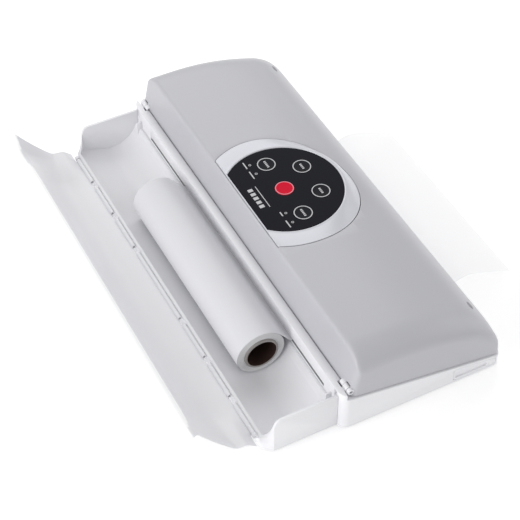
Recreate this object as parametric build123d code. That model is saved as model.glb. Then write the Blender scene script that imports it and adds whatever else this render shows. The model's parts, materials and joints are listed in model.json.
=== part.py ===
from build123d import *
import math
import os

# Bag vacuum sealer with a rear compartment for a film roll.
# X runs along the machine and Z is up. While it is modelled, Y = 0 is the rear face of the body, the
# user's side is at negative Y and the film tray at positive Y. All sizes are millimetres.

# ---- body
LENGTH = 390.0
DEPTH = 148.0
REAR_CORNER_R = 8.0
FRONT_CORNER_R = 6.0
WALL = 2.2
PLATE = 2.0
FOOT_H = 1.5              # gap between the underside and the table
RIM_Z = 41.0              # top of the upstand along the rear of the base
RIM_T = 4.5
RIM_LIP_HALF = 177.4      # the upstand is thicker between the hinges, where it follows the lid's rear face
RIM_LIP = [(-4.9, RIM_Z), (-8.0, 40.1), (-7.05, 36.0), (-7.05, 33.0)]
SEAM_ANGLE = 9.25         # slope of the parting plane, degrees, falling to the front
DECK_FRONT_Z = 10.85      # top of the base at its front edge
SEAM_GAP = 1.85           # from the deck up to the lower edge of the lid

# ---- lid
LID_HALF = 193.6
LID_TOP_Z = 72.8
LID_AXIS = (-9.0, 40.0)   # Y, Z of the hinge line
LID_PIN_R = 1.5
HINGE_R = 2.9
LID_REAR_Y = -7.9
LID_FRONT_R, LID_REAR_R = 6.0, 6.0        # corners of the lid seen from above

# ---- film, roll and tray
ROLL_Y, ROLL_Z, ROLL_R = 28.0, 25.0, 21.2
ROLL_X0, ROLL_X1 = -114.0, 86.0
CORE_R, CORE_BORE_R = 15.0, 12.7
CORE_PROUD = 1.5
FILM_T = 0.2
FILM_TAIL_Y = -213.0
TRAY_HALF = 188.4
FLAP_AXIS = (65.8, 13.0)
FLAP_HALF = 185.4
FLAP_PIN_R = 1.0
SLOT_X0, SLOT_X1 = -166.0, 158.0
SLOT_Z0, SLOT_Z1 = 24.2, 25.8

# ---- control panel
PANEL_Y = -53.0
PANEL_R = 50.2
BEZEL_Y = -50.5
BEZEL_R = 66.0
PANEL_FLAT_Y = -17.2      # straight rear side of the panel
BUTTON_R = 8.1
BUTTON_TRAVEL = 0.7
BUTTONS = {
    "seal_button": (32.7, -53.3),
    "pulse_button": (16.7, -78.9),
    "food_button": (-16.7, -78.9),
    "vacuum_button": (-32.7, -53.3),
    "stop_button": (0.0, -53.3),
}
LAMPS = [(38.3, -40.4), (26.5, -40.4), (-26.5, -40.4), (-38.3, -40.4)]

# ---- latches
HOOK_X, HOOK_Y, HOOK_Z = 184.0, -133.0, 4.3
RELEASE_TRAVEL = 3.0
RELEASE_Y0, RELEASE_Y1 = -143.0, -103.0
RELEASE_Z0 = 4.0

SLOPE = math.tan(math.radians(SEAM_ANGLE))
SIDES = (("left", -1), ("right", 1))
nodes = {}


# ---------------------------------------------------------------- helpers
def box(x0, x1, y0, y1, z0, z1):
    """A block between two corners."""
    size = (x1 - x0, y1 - y0, z1 - z0)
    return Pos((x0 + x1) / 2, (y0 + y1) / 2, (z0 + z1) / 2) * Box(*size)


def mirror_box(side, x0, x1, y0, y1, z0, z1):
    """A block at |X| from x0 to x1, on the side -1 or +1."""
    low, high = sorted((side * x0, side * x1))
    return box(low, high, y0, y1, z0, z1)


def along_x(outline, x0, x1):
    """Extrudes a closed outline of (y, z) points or edges from x0 to x1."""
    if isinstance(outline, list):
        outline = Polyline(*[(0, y, z) for y, z in outline], close=True)
    return extrude(make_face(outline), x1 - x0, dir=(1, 0, 0)).moved(Location((x0, 0, 0)))


def rod(y, z, r, x0, x1):
    """A cylinder along X."""
    return Pos((x0 + x1) / 2, y, z) * Rot(0, 90, 0) * Cylinder(r, x1 - x0)


def post(x, y, r, z0, z1):
    """A cylinder along Z."""
    return Pos(x, y, (z0 + z1) / 2) * Cylinder(r, z1 - z0)


def deck_z(y):
    """Height of the deck at y."""
    return DECK_FRONT_Z + (y + DEPTH) * SLOPE


def on_deck(shape):
    """Places a shape drawn on the deck: its y runs back along the slope, its z off the surface."""
    return Pos(0, -DEPTH, DECK_FRONT_Z) * Rot(SEAM_ANGLE, 0, 0) * shape


def stadium(half, v, width, w0, w1):
    """A round-ended bar along X on the deck."""
    body = extrude(SlotOverall(2 * half, width), w1 - w0)
    return body.moved(Location((0, v, w0)))


def ring(half, v, width, wall, w0, w1):
    """A round-ended loop on the deck, wall wide."""
    inner = stadium(half - wall, v, width - 2 * wall, w0 - 1, w1 + 1)
    return stadium(half, v, width, w0, w1) - inner


def plan(inset, z0, z1, y_back=0.0):
    """The rounded footprint of the body, drawn in by inset."""
    half, front, back = LENGTH / 2 - inset, -DEPTH + inset, y_back - inset
    shape = box(-half, half, front, back, z0, z1)
    rear = shape.edges().filter_by(Axis.Z).group_by(Axis.Y)[-1]
    shape = fillet(rear, REAR_CORNER_R - inset)
    fore = shape.edges().filter_by(Axis.Z).group_by(Axis.Y)[0]
    return fillet(fore, FRONT_CORNER_R - inset)


def d_shape(r, yc, flat_y, z0, z1):
    """A disc cut off straight at its rear side."""
    disc = post(0, yc, r, z0, z1)
    return disc & box(-r, r, yc - r, flat_y, z0, z1)


# ---------------------------------------------------------------- base
WELL_V0, WELL_V1, WELL_HALF, WELL_DEPTH = 24.0, 68.0, 170.0, 8.5
BAR_V, BAR_W, BAR_HALF = 15.0, 11.0, 160.0
RAMP_BACK, RAMP_FRONT = -2.0, -13.0
RAMP_WALL = 2.8
BOTTOM_SCREWS = [(-183, -62), (183, -62), (-60, -24), (60, -24), (-176, -24), (176, -24)]
FEET = [(-165, -20), (165, -20), (-165, -128), (165, -128)]
CATCH_X0, CATCH_X1 = 182.0, 186.4


def ramp_z(y):
    """Height of the ramp that leads the film from the slot down to the deck."""
    return SLOT_Z0 + (RAMP_BACK - y) * (deck_z(RAMP_FRONT) - SLOT_Z0) / (RAMP_BACK - RAMP_FRONT)


def base_blank():
    """Outside of the lower case, solid, with the ears of the lid's hinge."""
    low = FOOT_H
    deck_back = deck_z(-RIM_T)
    outer = along_x([(0, low), (0, RIM_Z), (-RIM_T, RIM_Z), (-RIM_T, deck_back),
                     (-DEPTH, DECK_FRONT_Z), (-DEPTH, low)], -LENGTH / 2, LENGTH / 2)
    for _, side in SIDES:
        lip = along_x([(-1, deck_z(-1) - 3), (-1, deck_z(-1) + 1), (-DEPTH, DECK_FRONT_Z + 1),
                       (-DEPTH, DECK_FRONT_Z - 3)], side * 187.5 - 7.5 * (side < 0),
                      side * 187.5 + 7.5 * (side > 0))
        ear = rod(*LID_AXIS, HINGE_R, *sorted((side * 183.5, side * 188.5)))
        foot = mirror_box(side, 183.5, 188.5, LID_AXIS[0] - HINGE_R, -RIM_T + 1, 30, LID_AXIS[1])
        outer = outer + lip + ear + foot
    lip = along_x([(-RIM_T + 0.1, 30.0), (-RIM_T + 0.1, RIM_Z)] + RIM_LIP, -RIM_LIP_HALF, RIM_LIP_HALF)
    return (outer + lip) & plan(0, -1, 60)


def base_room():
    """The space inside the lower case, less the parts of the case that stand in it."""
    room = along_x([(-WALL, -1), (-WALL, ramp_z(-WALL) - RAMP_WALL), (RAMP_FRONT - 0.5, 30.2),
                    (-DEPTH + WALL, deck_z(-DEPTH + WALL) - WALL), (-DEPTH + WALL, -1)],
                   -LENGTH / 2 + WALL, LENGTH / 2 - WALL) & plan(WALL, -2, 60)
    block = on_deck(box(-WELL_HALF - 2, WELL_HALF + 2, WELL_V0 - 2, WELL_V1 + 2, -10, -1))
    block = block + on_deck(box(-BAR_HALF - 2, BAR_HALF + 2, 7, 23, -5.6, -1))
    room = room - block
    for x, y in BOTTOM_SCREWS:
        room = room - post(x, y, 3.4, FOOT_H + PLATE, 60)
    return room


def base_shell():
    """Lower case: a sloping deck, a rear upstand with the film slot, and the well for the chamber."""
    shell = base_blank() - base_room()
    shell = shell - on_deck(box(-WELL_HALF, WELL_HALF, WELL_V0, WELL_V1, -WELL_DEPTH, 5))
    shell = shell - on_deck(stadium(BAR_HALF, BAR_V, BAR_W, -3.6, 1))
    slot = along_x([(1, SLOT_Z0), (RAMP_BACK, SLOT_Z0), (RAMP_FRONT, deck_z(RAMP_FRONT)),
                    (RAMP_FRONT, 50), (1, 50)], SLOT_X0, SLOT_X1)
    shell = shell - slot
    for x, y in BOTTOM_SCREWS:
        shell = shell - post(x, y, 1.3, -1, 14)
    for _, side in SIDES:
        shell = shell - rod(*LID_AXIS, LID_PIN_R, *sorted((side * 183, side * 189)))
        shell = shell - mirror_box(side, 175.2, 187, HOOK_Y - 6.6, HOOK_Y + 4.8, 5, 30)
        shell = shell - release_window(side, 0.35)
        shell = shell - mirror_box(side, CATCH_X0, CATCH_X1, -2.0, 1, 31, 39.5)
        shell = shell + mirror_box(side, 162.2, 164.2, HOOK_Y - 4, HOOK_Y + 4, FOOT_H + PLATE + 0.4, 11.8)
    for x in TRAY_SCREWS:
        shell = shell - Pos(x, 0, 13) * Rot(90, 0, 0) * Cylinder(1.7, 8)
    return shell


def release_window(side, gap):
    """The outline of a release button, grown by gap, through the end wall and its front corner."""
    y0, y1, z0 = RELEASE_Y0 - gap, RELEASE_Y1 + gap, RELEASE_Z0 - gap
    top0, top1 = (deck_z(y) - 1.3 + gap for y in (y0, y1))
    x0, x1 = sorted((side * 187.1, side * 196.0))
    face = along_x([(y0, z0), (y1, z0), (y1, top1), (y0, top0)], x0, x1)
    return fillet(face.edges().filter_by(Axis.X), 2.4)


def bottom_cover():
    """Flat plate that closes the base from below."""
    plate = plan(WALL + 0.2, FOOT_H, FOOT_H + PLATE)
    for x, y in BOTTOM_SCREWS:
        plate = plate - post(x, y, 1.7, -1, 6) - post(x, y, 3.0, -1, FOOT_H + 0.9)
    for x, y in FEET:
        plate = plate - post(x, y, 7.2, -1, FOOT_H + 1.0)
    return plate


def feet(places, seat_z):
    """Round rubber feet."""
    return [chamfer(f.edges().group_by(Axis.Z)[0], 0.6) for f in
            (post(x, y, 7.0, 0, seat_z) for x, y in places)]


def screw(r_head, head, r_shank, length):
    """A pan screw, head down at z = 0, with a cross recess."""
    body = post(0, 0, r_head, 0, head) + post(0, 0, r_shank, head, head + length)
    cross = Box(2 * r_head - 2, 0.7, 1.4) + Box(0.7, 2 * r_head - 2, 1.4)
    return body - cross


def film_guide_bar():
    """Bar over the film slot, with a bevelled lower edge at the film's side."""
    low = SLOT_Z1
    outline = [(0, low + 1.5), (0, RIM_Z)] + RIM_LIP + [(-RIM_T, 29.4), (-1.5, low), (-0.6, low)]
    return along_x(outline, SLOT_X0, SLOT_X1)


def chamber_tray():
    """Insert in the base well: the air channel with its gasket groove."""
    tray = box(-WELL_HALF + 0.2, WELL_HALF - 0.2, WELL_V0 + 0.2, WELL_V1 - 0.2, -WELL_DEPTH + 0.05, 0)
    tray = tray - stadium(150, 46, 18, -7, 1)
    tray = tray - ring(166, 46, 40, 6, -1.6, 1)
    return on_deck(tray)


def lower_gasket():
    """Foam sealing loop in the base."""
    loop = ring(165.9, 46, 39.8, 5.8, -1.6, 0.9)
    return on_deck(fillet(loop.edges().group_by(Axis.Z)[-1], 0.8))


def pressure_strip():
    """Silicone strip that backs the film under the heating bar."""
    strip = stadium(BAR_HALF - 0.1, BAR_V, BAR_W - 0.2, -3.6, 1.0)
    return on_deck(fillet(strip.edges().group_by(Axis.Z)[-1], 0.8))


# ---------------------------------------------------------------- tray and flap
FLOOR_Z = 3.3
TROUGH_R = 27.0
TRAY_TOP_Z = 36.6
TRAY_WALL = 2.2
TRAY_EDGE_Y = 63.6
TRAY_FEET = [(-150, 44), (150, 44)]
TRAY_SCREWS = (-150, -50, 50, 150)


def tray_plan(inset, z0, z1):
    """Footprint of the tray: the two outer corners are cut off and rounded."""
    half, edge = TRAY_HALF - inset, TRAY_EDGE_Y - inset
    cut_x, cut_y = half - 7.3, 55.6
    points = [(-half, 0.15), (half, 0.15), (half, cut_y), (cut_x, edge), (-cut_x, edge), (-half, cut_y)]
    face = make_face(Polyline(*points, close=True))
    return extrude(face, z1 - z0).moved(Location((0, 0, z0)))


def trough_point(degrees, drop):
    """A point on the trough, counted from its lowest line, lowered by drop."""
    turn = math.radians(degrees)
    r = TROUGH_R + drop
    return (0, ROLL_Y + r * math.sin(turn), FLOOR_Z + TROUGH_R - r * math.cos(turn))


def tray_floor(drop):
    """Edges of the inside of the tray in the YZ plane, lowered by drop."""
    back, low, out = (trough_point(degrees, drop) for degrees in (-72, -20, 17.2))
    lip = (0, TRAY_EDGE_Y - 1.6 * (drop == 0), 13.0 - drop)
    return ThreePointArc(back, low, out) + Line(out, lip), back, lip


def tray_blank():
    """Outside of the tray, solid, with its end walls stepping down to the outer edge."""
    side = along_x([(0.15, FOOT_H), (0.15, TRAY_TOP_Z), (50, TRAY_TOP_Z), (52.4, 35.6), (54.2, 33.4), (55.6, 29.6),
                    (56.6, 24.5), (58.2, 19.0), (60.2, 15.6), (TRAY_EDGE_Y, 13.8), (TRAY_EDGE_Y, FOOT_H)],
                   -TRAY_HALF, TRAY_HALF)
    return side & tray_plan(0, 0, 60)


def tray_inside():
    """The open space of the tray, above its trough."""
    edges, back, lip = tray_floor(0)
    top = 60
    loop = edges + Line(lip, (0, lip[1], top)) + Line((0, lip[1], top), (0, -5, top))
    loop = loop + Line((0, -5, top), (0, -5, back[2])) + Line((0, -5, back[2]), back)
    return along_x(loop, -TRAY_HALF + TRAY_WALL, TRAY_HALF - TRAY_WALL) & tray_plan(TRAY_WALL, 0, 80)


def tray_underside():
    """The hollow under the tray's outer half, less the two bosses for the feet."""
    edges, back, lip = tray_floor(1.8)
    loop = edges + Line(lip, (0, lip[1], -1)) + Line((0, lip[1], -1), (0, back[1], -1)) + Line((0, back[1], -1), back)
    below = along_x(loop, -TRAY_HALF + TRAY_WALL, TRAY_HALF - TRAY_WALL)
    below = below & tray_plan(TRAY_WALL, -5, 80) & box(-200, 200, 39, 61, -1, 20)
    for x, y in TRAY_FEET:
        below = below - post(x, y, 8.5, FOOT_H, 20)
    return below


def roll_tray():
    """Open compartment behind the body: end walls, trough floor and a low outer wall."""
    tray = tray_blank() - tray_underside() - tray_inside()
    for x, y in TRAY_FEET:
        tray = tray - post(x, y, 7.2, 0, FOOT_H + 1.0)
    for x in TRAY_SCREWS:
        tray = tray - Pos(x, 2.5, 13) * Rot(90, 0, 0) * Cylinder(1.2, 5)
    for _, side in SIDES:
        tray = tray + mirror_box(side, 176.8, 178.0, 0.15, 5, 14, 30)
        ear = rod(*FLAP_AXIS, 2.2, *sorted((side * 174.4, side * 177.4)))
        neck = mirror_box(side, 174.4, 177.4, TRAY_EDGE_Y - 1.5, FLAP_AXIS[0], FLAP_AXIS[1] - 2.2, FLAP_AXIS[1] + 0.4)
        tray = tray + ear + neck
        tray = tray - rod(*FLAP_AXIS, FLAP_PIN_R, *sorted((side * 174, side * 178)))
    for x in (-137, -92, -46, 46, 92, 137):
        tray = tray + box(x - 4, x + 4, TRAY_EDGE_Y - 1.6, TRAY_EDGE_Y, 12.5, 14.6)
    return tray


BARREL_R = 1.7
FLAP_MID_HALF = 148.0
FLAP_STATIONS = [(148.0, 0.0, 0.0), (158.0, 0.3, 0.0), (171.0, 0.7, 0.0), (177.5, 0.86, 0.16), (FLAP_HALF, 1.0, 1.0)]


def blend(a, b, k):
    """A point between a and b."""
    return tuple(p + (q - p) * k for p, q in zip(a, b))


def bowed(a, b, sag):
    """The middle of the line from a to b, pushed out by sag."""
    run, rise = b[0] - a[0], b[1] - a[1]
    size = math.hypot(run, rise)
    return ((a[0] + b[0]) / 2 + sag * rise / size, (a[1] + b[1]) / 2 - sag * run / size)


def flap_section(x, flat, tip):
    """Closed outline of the flap at x: flat goes to 1 where the dish runs out, tip to 1 at the corner."""
    at = lambda q: (x, q[0], q[1])
    lip, lip_out = blend((112.6, 37.0), (117.0, 56.5), tip), blend((118.0, 39.4), (119.6, 56.0), tip)
    near, near_out = (86.0, 13.2 + 6.4 * flat), (86.6, 11.0 + 6.4 * flat)
    hip, hip_out = (76.0, 12.7 + 5.8 * flat), (76.4, 11.2 + 5.4 * flat)
    root, root_out = (67.2, 12.3), (66.4, 11.4)
    belly = bowed(near, lip, 4.5 - 3.5 * flat)
    belly_out = bowed(near_out, lip_out, 6.0 - 3.6 * flat)
    return (Line(at(root), at(hip)) + Line(at(hip), at(near)) + ThreePointArc(at(near), at(belly), at(lip))
            + Line(at(lip), at(lip_out)) + ThreePointArc(at(lip_out), at(belly_out), at(near_out))
            + Line(at(near_out), at(hip_out)) + Line(at(hip_out), at(root_out)) + Line(at(root_out), at(root)))


def flap_door():
    """Hinged cover of the tray: a dished panel with a rolled edge and two raised corners."""
    door = along_x(flap_section(0, 0, 0), -FLAP_MID_HALF, FLAP_MID_HALF)
    for start, end in zip(FLAP_STATIONS, FLAP_STATIONS[1:]):
        piece = loft([make_face(flap_section(*start)), make_face(flap_section(*end))], ruled=True)
        door = door + piece + mirror(piece, Plane.YZ)
    door = door + rod(*FLAP_AXIS, BARREL_R, -173.9, 173.9)
    for _, s in SIDES:
        door = door - mirror_box(s, 173.9, 190, 60, 68.4, 8, 20)
        door = door - rod(*FLAP_AXIS, FLAP_PIN_R + 0.05, *sorted((s * 168, s * 175)))
    return door


# ---------------------------------------------------------------- film
def roll_tangent(angle, gap):
    """A point just off the roll at an angle from +Y."""
    r = ROLL_R + gap
    return (ROLL_Y + r * math.cos(math.radians(angle)), ROLL_Z + r * math.sin(math.radians(angle)))


def film_web():
    """Film from the roll, through the slot, over the deck and out at the front."""
    lift = 1.3
    out_y, out_z = -DEPTH - 0.5, DECK_FRONT_Z + lift
    line = [roll_tangent(118, 0.35), roll_tangent(130, 0.35), roll_tangent(140, 0.4), (1.2, SLOT_Z0 + 1.3),
            (-1.0, SLOT_Z0 + 0.7), (-2.6, SLOT_Z0 + 1.1), (RAMP_FRONT + 0.6, deck_z(RAMP_FRONT) + 0.5),
            (RAMP_FRONT - 1.6, deck_z(RAMP_FRONT) + 1.0), (-20.0, deck_z(-20.0) + lift), (out_y, out_z),
            (-155.0, 14.6), (-162.0, 17.6), (-170.0, 17.8), (-182.0, 14.0), (-198.0, 7.4), (FILM_TAIL_Y, 0.9)]
    upper = [(y, z + FILM_T) for y, z in reversed(line)]
    upper[-1] = roll_tangent(118, 0.35 + FILM_T)
    upper[-2] = roll_tangent(130, 0.35 + FILM_T)
    upper[-3] = roll_tangent(140, 0.4 + FILM_T)
    return along_x(line + upper, ROLL_X0, ROLL_X1)


def film_roll():
    """The wound film, a plain tube round the core."""
    return rod(ROLL_Y, ROLL_Z, ROLL_R, ROLL_X0, ROLL_X1) - rod(ROLL_Y, ROLL_Z, CORE_R, -200, 200)


def roll_core():
    """Cardboard tube inside the roll."""
    x0, x1 = ROLL_X0 - CORE_PROUD, ROLL_X1 + CORE_PROUD
    return rod(ROLL_Y, ROLL_Z, CORE_R, x0, x1) - rod(ROLL_Y, ROLL_Z, CORE_BORE_R, -200, 200)


# ---------------------------------------------------------------- lid
LID_CREST_Y = -15.8
REAR_LEAN = 7.9 / 37.3     # lean of the lid's rear face, mm forward per mm up
LID_END_STATIONS = [(168.0, 0.0), (177.0, 1.0), (183.5, 3.9), (189.0, 8.4), (LID_HALF, 15.0)]


def lid_section(x, t, drop):
    """Closed outline of the lid at x, drawn in by t, with its top lowered by drop."""
    at = lambda y, z: (x, y, z)
    k = 1 - drop / 60
    rear, front = at(LID_REAR_Y - t, 35.5 - 3 * t), at(-DEPTH + t, 12.7 - 3 * t)
    crease = at(LID_CREST_Y - 0.9 * t + REAR_LEAN * (drop + t), LID_TOP_Z - t - drop)
    flat = at(-36, LID_TOP_Z - t - drop)
    shoulder = at(-113 + 0.35 * t, 12.7 + (47.4 - 0.95 * t) * k)
    swell = at(-76, (LID_TOP_Z + shoulder[2]) / 2 + 3.2 - t / 2 - drop / 2)
    brow = at(-135.4 + 0.75 * t, 12.7 + (34.8 - 0.7 * t) * k)
    chin = at(-147.0 + 0.95 * t, 12.7 + (13.4 - 0.3 * t) * k)
    return (Line(rear, crease) + Line(crease, flat) + ThreePointArc(flat, swell, shoulder)
            + ThreePointArc(shoulder, brow, chin) + Line(chin, front) + Line(front, rear))


def lid_body(t, half):
    """Solid envelope of the lid, drawn in by t; its ends roll off in steps."""
    ends = [(x - (LID_HALF - half) * (i > 2), d) for i, (x, d) in enumerate(LID_END_STATIONS)]
    right = loft([make_face(lid_section(x, t, d)) for x, d in ends], ruled=True)
    left = mirror(right, Plane.YZ)
    middle = along_x(lid_section(0, t, 0), -ends[0][0], ends[0][0])
    return middle + right + left


def lid_plan(inset):
    """The rounded footprint of the lid, drawn in by inset."""
    shape = box(-LID_HALF + inset, LID_HALF - inset, -DEPTH + inset, LID_REAR_Y - inset, 0, 90)
    front, rear = (shape.edges().filter_by(Axis.Z).group_by(Axis.Y)[i] for i in (0, -1))
    return fillet(front, LID_FRONT_R - inset) & fillet(rear, LID_REAR_R - inset)


def below_seam():
    """Everything under the parting plane."""
    return on_deck(box(-250, 250, -60, 220, -80, SEAM_GAP))


PLATE_W0 = 3.2
PLATE_W1 = 5.2
LID_SCREWS = [(-165, 28), (165, 28), (-165, 100), (165, 100), (-70, 122), (70, 122)]
INLET_Y, INLET_Z = -52.0, 46.0
PRESS_MARKS_X = (-166.0, 166.0)
PRESS_MARK_AT, PRESS_MARK_TILT = (-132.0, 50.66), 40.0     # Y and Z on the front curve, and its slope there


def press_marks():
    """Small oval pads on the lid near its front corners, where the hands press it shut."""
    marks = []
    for x in PRESS_MARKS_X:
        face = Pos(x, *PRESS_MARK_AT) * Rot(PRESS_MARK_TILT, 0, 0)
        marks.append(face * extrude(Ellipse(4.4, 2.0), 0.9).moved(Location((0, 0, -0.6))))
    return marks


def lid_cover():
    """Upper case: bevelled rear, long crowned top and rounded ends."""
    outer = lid_body(0, LID_HALF) & lid_plan(0)
    shell = outer - (lid_body(WALL, LID_HALF - WALL) & lid_plan(WALL))
    for x, v in LID_SCREWS:
        shell = shell + (on_deck(post(x, v, 3.3, PLATE_W1, 90)) & outer)
    for _, s in SIDES:
        knuckle = rod(*LID_AXIS, HINGE_R, *sorted((s * 178.3, s * 183.2)))
        outer_knuckle = rod(*LID_AXIS, HINGE_R, *sorted((s * 188.8, s * 192.0)))
        notch = mirror_box(s, 183.2, 188.8, LID_AXIS[0] - 4.6, 0, 30, 44.6)
        shell = shell - notch
        shell = shell + knuckle + outer_knuckle
        shell = shell - rod(*LID_AXIS, LID_PIN_R + 0.05, *sorted((s * 177, s * 191.2)))
    for mark in press_marks():
        shell = shell + mark
    shell = shell - below_seam()
    shell = shell - d_shape(BEZEL_R + 0.5, BEZEL_Y, PANEL_FLAT_Y + 0.5, 50, 90)
    for x, v in LID_SCREWS:
        shell = shell - on_deck(post(x, v, 1.3, PLATE_W0, PLATE_W1 + 9))
    return shell - box(186, 200, INLET_Y - 11.2, INLET_Y + 11.2, INLET_Z - 7.2, INLET_Z + 7.2)


def lid_inner_plate():
    """Plate that closes the lid from below and carries its works."""
    plate = box(-187, 187, 4.5, 112, PLATE_W0, PLATE_W1) + box(-176, 176, 110, 133, PLATE_W0, PLATE_W1)
    plate = fillet(plate.edges().filter_by(Axis.Z).group_by(Axis.Y)[0], 7)
    plate = plate - ring(166, 46, 40, 6, PLATE_W0 - 1, PLATE_W0 + 1)
    plate = plate - stadium(150, 46, 18, PLATE_W0 - 1, PLATE_W0 + 0.8)
    plate = plate - stadium(BAR_HALF, BAR_V, BAR_W + 3.0, PLATE_W0 - 1, PLATE_W1 + 1)
    plate = plate - post(NOZZLE_X, 46, 2.6, 0, 9)
    for x, v in LID_SCREWS:
        plate = plate - post(x, v, 1.7, 0, 9) - post(x, v, 3.0, 0, PLATE_W0 + 1.0)
    return on_deck(plate)


def upper_gasket():
    """Foam sealing loop in the lid, over the lower one."""
    loop = ring(165.9, 46, 39.8, 5.8, 1.9, PLATE_W0 + 1)
    return on_deck(fillet(loop.edges().group_by(Axis.Z)[0], 0.8))


def heating_bar():
    """Insulating bar that holds the heating strip."""
    return on_deck(stadium(BAR_HALF - 0.2, BAR_V, BAR_W + 2.6, 2.6, 8.5))


def heater_strip():
    """Flat nickel-chrome strip on the bar."""
    return on_deck(box(-152, 152, BAR_V - 1.4, BAR_V + 1.4, 2.45, 2.6))


def heater_tape():
    """Non-stick tape over the strip."""
    tape = box(-154, 154, BAR_V - 5.6, BAR_V + 5.6, 2.3, 2.6)
    return on_deck(tape - box(-152, 152, BAR_V - 1.4, BAR_V + 1.4, 2.45, 3))


NOZZLE_X = -60.0
PUMP_X = -118.0
WORKS_V = 88.0


def intake_nozzle():
    """Air inlet from the chamber into the hose."""
    tube = post(NOZZLE_X, 46, 2.5, PLATE_W0 + 0.2, 12) + post(NOZZLE_X, 46, 4.2, PLATE_W1, PLATE_W1 + 1.4)
    return on_deck(tube - post(NOZZLE_X, 46, 1.4, 0, 20))


def air_hose():
    """Soft tube from the nozzle to the pump head."""
    path = FilletPolyline((NOZZLE_X, 46, 8.5), (NOZZLE_X, 46, 22), (NOZZLE_X, WORKS_V, 22),
                          (PUMP_X + 38, WORKS_V, 22), radius=7)
    start = Plane(origin=(NOZZLE_X, 46, 8.5), z_dir=(0, 0, 1))
    hose = sweep(start * Circle(3.9), path) - sweep(start * Circle(2.5), path)
    return on_deck(hose)


def pump_head():
    """Diaphragm pump head with its air port."""
    head = box(PUMP_X + 4, PUMP_X + 30, WORKS_V - 14, WORKS_V + 14, 8, 36)
    head = fillet(head.edges().filter_by(Axis.X), 4)
    port = rod(WORKS_V, 22, 2.5, PUMP_X + 30, PUMP_X + 42) - rod(WORKS_V, 22, 1.4, PUMP_X + 30, PUMP_X + 50)
    return on_deck(head + port)


def pump_motor():
    """Round motor on the pump."""
    can = rod(WORKS_V, 22, 12, PUMP_X - 28, PUMP_X + 4)
    can = fillet(can.edges().group_by(Axis.X)[0], 1.5)
    return on_deck(can + rod(WORKS_V, 22, 4, PUMP_X - 30.5, PUMP_X - 28))


def pump_cradle():
    """Saddle that carries the pump on the lid plate."""
    seat = box(PUMP_X - 24, PUMP_X + 28, WORKS_V - 12, WORKS_V + 12, PLATE_W1, 16)
    seat = seat - rod(WORKS_V, 22, 12.05, PUMP_X - 30, PUMP_X + 4)
    return on_deck(seat - box(PUMP_X + 4, PUMP_X + 30, WORKS_V - 14, WORKS_V + 14, 8, 36))


def transformer_core():
    """Laminated core with two mounting ears."""
    core = box(88, 132, WORKS_V - 10, WORKS_V + 10, PLATE_W1, 40)
    core = core - box(95, 104, WORKS_V - 11, WORKS_V + 11, 12, 33)
    core = core - box(116, 125, WORKS_V - 11, WORKS_V + 11, 12, 33)
    return on_deck(core + box(80, 140, WORKS_V - 6, WORKS_V + 6, PLATE_W1, PLATE_W1 + 1.5))


def transformer_coil():
    """Winding round the centre limb."""
    coil = box(95.3, 124.7, WORKS_V - 17, WORKS_V + 17, 12.3, 32.7)
    coil = fillet(coil.edges().filter_by(Axis.Z), 5)
    return on_deck(coil - box(103.8, 116.2, WORKS_V - 10.2, WORKS_V + 10.2, 10, 35))


def power_board():
    """Mains and heater control board on four pillars."""
    board = box(-38, 62, 66, 116, 12, 13.6)
    for x in (-33, 57):
        for v in (71, 111):
            board = board + post(x, v, 2.4, PLATE_W1, 12)
    return on_deck(board)


def board_parts():
    """Relay, capacitor and heat sink on the power board."""
    relay = box(-30, -11, 76, 91, 13.6, 28.6)
    capacitor = post(10, 92, 6.5, 13.6, 32)
    sink = box(32, 52, 82, 95.4, 13.6, 16)
    for v in (82, 86, 90, 94):
        sink = sink + box(32, 52, v, v + 1.4, 13.6, 33)
    return [on_deck(part) for part in (relay, capacitor, sink)]


def latch_hook(side):
    """Hook that hangs from the lid plate and catches the release button's frame."""
    stem = mirror_box(side, HOOK_X - 2.4, HOOK_X, HOOK_Y - 3, HOOK_Y + 3, HOOK_Z, deck_z(HOOK_Y) + 6)
    nose = mirror_box(side, HOOK_X - 7.6, HOOK_X - 2.3, HOOK_Y - 3, HOOK_Y + 3, HOOK_Z, HOOK_Z + 2)
    tip = nose.edges().filter_by(Axis.Y).sort_by(lambda e: abs(e.center().X) + e.center().Z)[0]
    v = (HOOK_Y + DEPTH) / math.cos(math.radians(SEAM_ANGLE))
    pad = on_deck(mirror_box(side, HOOK_X - 6, HOOK_X + 2.4, v - 6, v + 6, PLATE_W0 - 1.2, PLATE_W0))
    above = on_deck(box(-220, 220, -60, 220, PLATE_W0, 60))
    return (chamfer(tip, 1.2) + stem + pad) - above


def power_inlet():
    """Two-pin mains socket in the lid's end wall."""
    y, z = INLET_Y, INLET_Z
    flange = box(191.4, 193.0, y - 11, y + 11, z - 7, z + 7)
    barrel = box(176, 191.4, y - 9.5, y + 9.5, z - 6, z + 6)
    body = flange + barrel
    body = body - box(180, 194, y - 8.2, y + 8.2, z - 4.4, z + 4.4)
    for pin in inlet_pins():
        body = body - pin
    return body


def inlet_pins():
    """Two round contact pins in the socket."""
    return [rod(INLET_Y + dy, INLET_Z, 1.2, 176.5, 190) for dy in (-4.3, 4.3)]


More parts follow.
